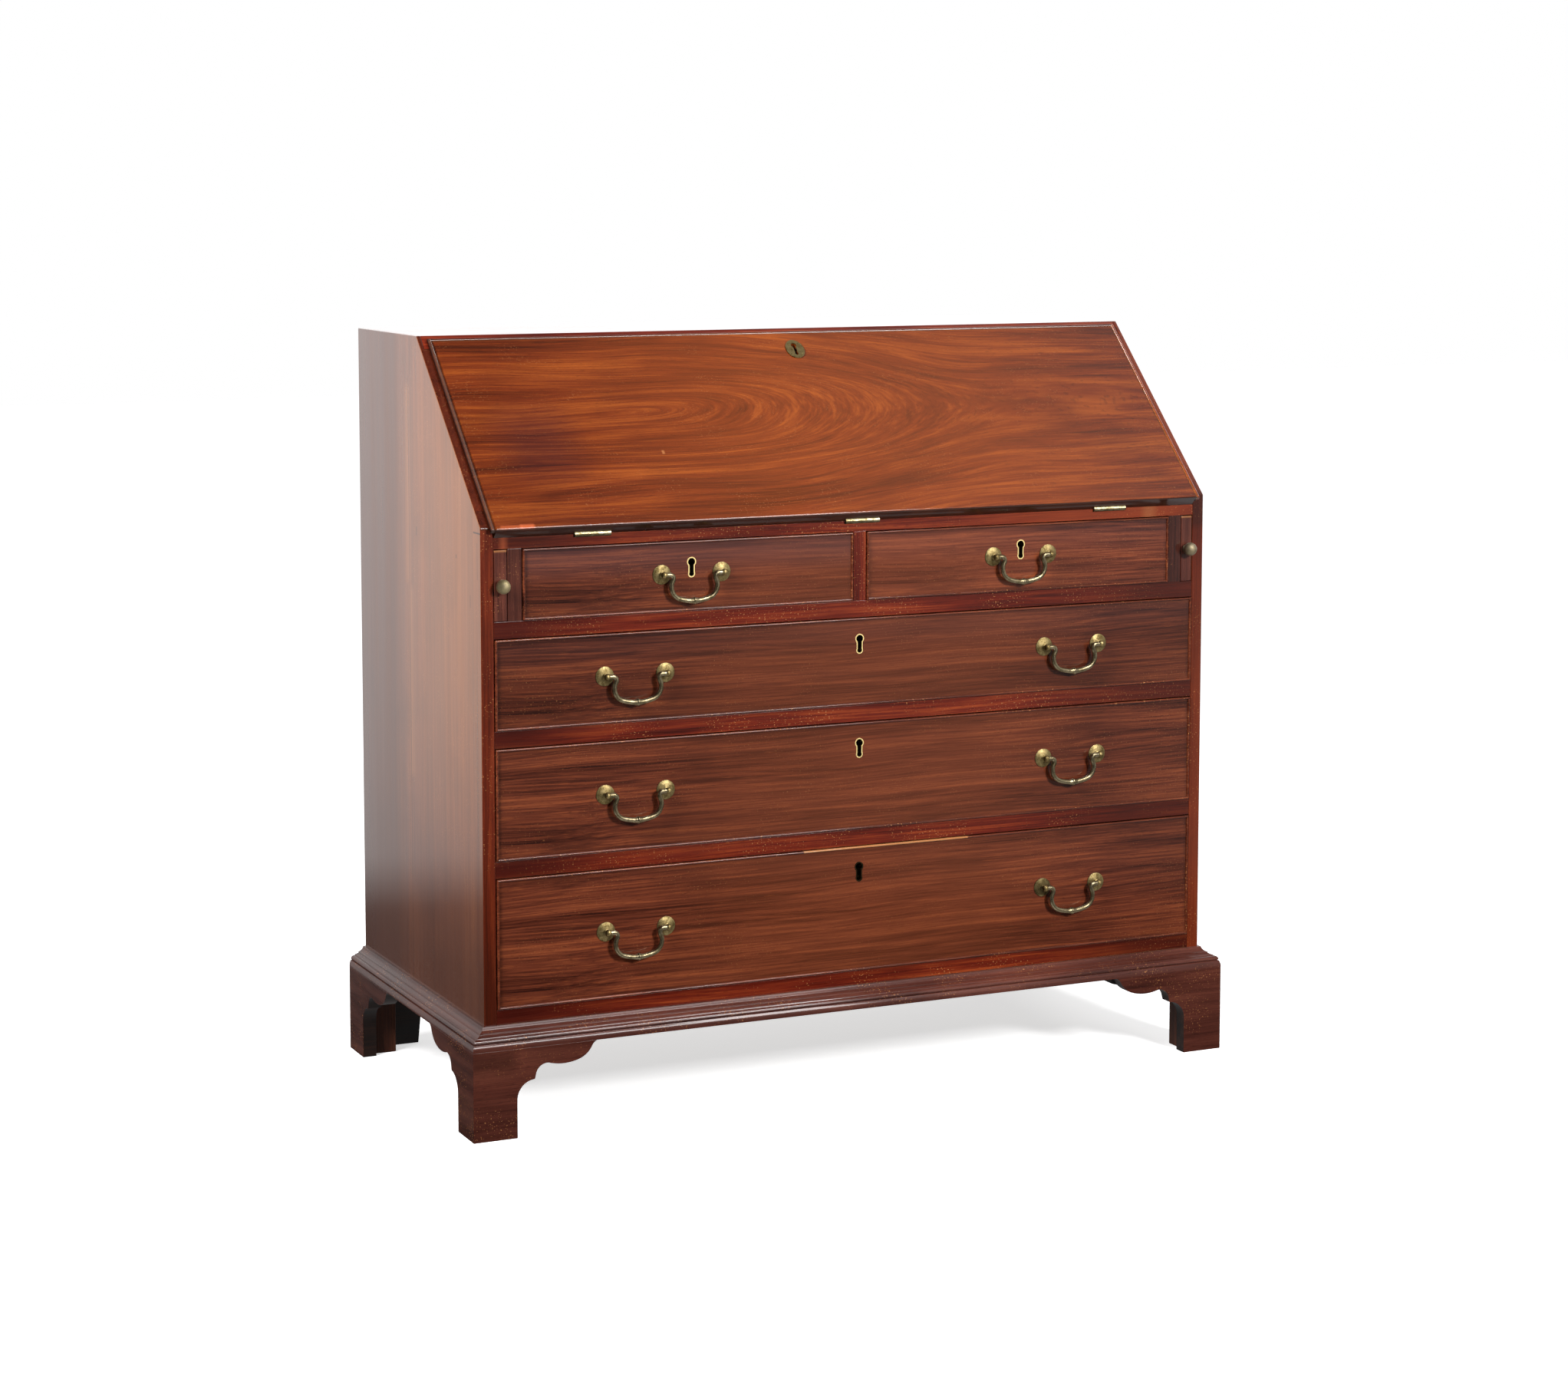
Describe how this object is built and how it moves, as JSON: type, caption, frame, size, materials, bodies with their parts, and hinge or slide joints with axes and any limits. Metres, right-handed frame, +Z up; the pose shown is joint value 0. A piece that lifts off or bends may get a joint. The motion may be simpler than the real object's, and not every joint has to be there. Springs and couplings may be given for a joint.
{
  "type": "slope-front bureau desk",
  "caption": "Slope-front bureau desk: a chest of drawers on bracket feet, with a hinged sloping fall that opens on to pull-out lopers as a writing surface before pigeonholes.",
  "frame": {"origin": "on the floor, under the middle of the overall box", "axes": "+X across the front to the viewer's right, +Y from the front to the back, +Z up"},
  "size_m": [1.16, 0.537, 1.057],
  "materials": {
    "polished_mahogany_fall": "polished, figured, orange-brown",
    "polished_mahogany_fronts": "polished, straight ribbon grain, red-brown",
    "polished_mahogany_carcase": "polished, worn, red-brown",
    "polished_mahogany_base": "polished, dark brown",
    "oak_linings": "bare, dry",
    "pine_back": "bare, aged",
    "aged_brass": "aged, rubbed bright on high points"
  },
  "bodies": {
    "carcase": {"side_right": "polished_mahogany_carcase", "side_left": "polished_mahogany_carcase", "top_board": "polished_mahogany_carcase", "back_boards": "pine_back", "drawer_rails": "polished_mahogany_carcase", "dustboards": "oak_linings", "bottom_board": "oak_linings", "base_rails": "pine_back", "centre_divider": "polished_mahogany_carcase", "loper_partitions": "polished_mahogany_carcase", "base_moulding": "polished_mahogany_base", "foot_front_right": "polished_mahogany_base", "foot_front_left": "polished_mahogany_base", "foot_back_right": "polished_mahogany_base", "foot_back_left": "polished_mahogany_base", "bed_hinge_leaves": "aged_brass", "writing_bed": "polished_mahogany_carcase", "interior_drawer_case": "oak_linings", "pigeonhole_partitions": "oak_linings"},
    "fall": {"fall_hinge_leaves": "aged_brass", "fall_lock": "aged_brass", "fall_board": "polished_mahogany_fall", "fall_escutcheon": "aged_brass"},
    "loper_right": {"loper_right": "polished_mahogany_carcase", "loper_knob_right": "aged_brass"},
    "loper_left": {"loper_left": "polished_mahogany_carcase", "loper_knob_left": "aged_brass"},
    "short_drawer_left": {"short_drawer_left_beads": "polished_mahogany_fronts", "short_drawer_left_box": "oak_linings", "short_drawer_left_brasses": "aged_brass", "short_drawer_left_front": "polished_mahogany_fronts"},
    "short_drawer_left_bail": {"short_drawer_left_bail": "aged_brass"},
    "short_drawer_right": {"short_drawer_right_beads": "polished_mahogany_fronts", "short_drawer_right_box": "oak_linings", "short_drawer_right_brasses": "aged_brass", "short_drawer_right_front": "polished_mahogany_fronts"},
    "short_drawer_right_bail": {"short_drawer_right_bail": "aged_brass"},
    "long_drawer_shallow": {"long_drawer_shallow_beads": "polished_mahogany_fronts", "long_drawer_shallow_box": "oak_linings", "long_drawer_shallow_brasses": "aged_brass", "long_drawer_shallow_front": "polished_mahogany_fronts"},
    "long_drawer_shallow_bail_left": {"long_drawer_shallow_bail_left": "aged_brass"},
    "long_drawer_shallow_bail_right": {"long_drawer_shallow_bail_right": "aged_brass"},
    "long_drawer_middle": {"long_drawer_middle_beads": "polished_mahogany_fronts", "long_drawer_middle_box": "oak_linings", "long_drawer_middle_brasses": "aged_brass", "long_drawer_middle_front": "polished_mahogany_fronts"},
    "long_drawer_middle_bail_left": {"long_drawer_middle_bail_left": "aged_brass"},
    "long_drawer_middle_bail_right": {"long_drawer_middle_bail_right": "aged_brass"},
    "long_drawer_deep": {"long_drawer_deep_beads": "polished_mahogany_fronts", "long_drawer_deep_box": "oak_linings", "long_drawer_deep_brasses": "aged_brass", "long_drawer_deep_front": "polished_mahogany_fronts"},
    "long_drawer_deep_bail_left": {"long_drawer_deep_bail_left": "aged_brass"},
    "long_drawer_deep_bail_right": {"long_drawer_deep_bail_right": "aged_brass"},
    "small_drawer_1": {"small_drawer_1": "oak_linings"},
    "small_drawer_2": {"small_drawer_2": "oak_linings"},
    "small_drawer_3": {"small_drawer_3": "oak_linings"},
    "small_drawer_4": {"small_drawer_4": "oak_linings"}
  },
  "joints": [
    {"name": "fall_hinge", "type": "hinge", "parent": "carcase", "child": "fall", "pos_m": [0, -0.2441, 0.8025], "axis": [1, 0, 0], "range_deg": [0, 136.2]},
    {"name": "loper_left_slide", "type": "slide", "parent": "carcase", "child": "loper_left", "axis": [0, -1, 0], "range_m": [0, 0.3]},
    {"name": "loper_right_slide", "type": "slide", "parent": "carcase", "child": "loper_right", "axis": [0, -1, 0], "range_m": [0, 0.3]},
    {"name": "short_drawer_left_slide", "type": "slide", "parent": "carcase", "child": "short_drawer_left", "axis": [0, -1, 0], "range_m": [0, 0.36]},
    {"name": "short_drawer_left_bail_swing", "type": "hinge", "parent": "short_drawer_left", "child": "short_drawer_left_bail", "pos_m": [-0.2534, -0.2535, 0.74225], "axis": [-1, 0, 0], "range_deg": [-6, 85]},
    {"name": "short_drawer_right_slide", "type": "slide", "parent": "carcase", "child": "short_drawer_right", "axis": [0, -1, 0], "range_m": [0, 0.36]},
    {"name": "short_drawer_right_bail_swing", "type": "hinge", "parent": "short_drawer_right", "child": "short_drawer_right_bail", "pos_m": [0.2534, -0.2535, 0.74225], "axis": [-1, 0, 0], "range_deg": [-6, 85]},
    {"name": "long_drawer_shallow_slide", "type": "slide", "parent": "carcase", "child": "long_drawer_shallow", "axis": [0, -1, 0], "range_m": [0, 0.36]},
    {"name": "long_drawer_shallow_bail_left_swing", "type": "hinge", "parent": "long_drawer_shallow", "child": "long_drawer_shallow_bail_left", "pos_m": [-0.3365, -0.2535, 0.6095], "axis": [-1, 0, 0], "range_deg": [-6, 85]},
    {"name": "long_drawer_shallow_bail_right_swing", "type": "hinge", "parent": "long_drawer_shallow", "child": "long_drawer_shallow_bail_right", "pos_m": [0.3365, -0.2535, 0.6095], "axis": [-1, 0, 0], "range_deg": [-6, 85]},
    {"name": "long_drawer_middle_slide", "type": "slide", "parent": "carcase", "child": "long_drawer_middle", "axis": [0, -1, 0], "range_m": [0, 0.36]},
    {"name": "long_drawer_middle_bail_left_swing", "type": "hinge", "parent": "long_drawer_middle", "child": "long_drawer_middle_bail_left", "pos_m": [-0.3365, -0.2535, 0.4492], "axis": [-1, 0, 0], "range_deg": [-6, 85]},
    {"name": "long_drawer_middle_bail_right_swing", "type": "hinge", "parent": "long_drawer_middle", "child": "long_drawer_middle_bail_right", "pos_m": [0.3365, -0.2535, 0.4492], "axis": [-1, 0, 0], "range_deg": [-6, 85]},
    {"name": "long_drawer_deep_slide", "type": "slide", "parent": "carcase", "child": "long_drawer_deep", "axis": [0, -1, 0], "range_m": [0, 0.36]},
    {"name": "long_drawer_deep_bail_left_swing", "type": "hinge", "parent": "long_drawer_deep", "child": "long_drawer_deep_bail_left", "pos_m": [-0.3365, -0.2535, 0.2617], "axis": [-1, 0, 0], "range_deg": [-6, 85]},
    {"name": "long_drawer_deep_bail_right_swing", "type": "hinge", "parent": "long_drawer_deep", "child": "long_drawer_deep_bail_right", "pos_m": [0.3365, -0.2535, 0.2617], "axis": [-1, 0, 0], "range_deg": [-6, 85]},
    {"name": "small_drawer_1_slide", "type": "slide", "parent": "carcase", "child": "small_drawer_1", "axis": [0, -1, 0], "range_m": [0, 0.15]},
    {"name": "small_drawer_2_slide", "type": "slide", "parent": "carcase", "child": "small_drawer_2", "axis": [0, -1, 0], "range_m": [0, 0.15]},
    {"name": "small_drawer_3_slide", "type": "slide", "parent": "carcase", "child": "small_drawer_3", "axis": [0, -1, 0], "range_m": [0, 0.15]},
    {"name": "small_drawer_4_slide", "type": "slide", "parent": "carcase", "child": "small_drawer_4", "axis": [0, -1, 0], "range_m": [0, 0.15]}
  ]
}
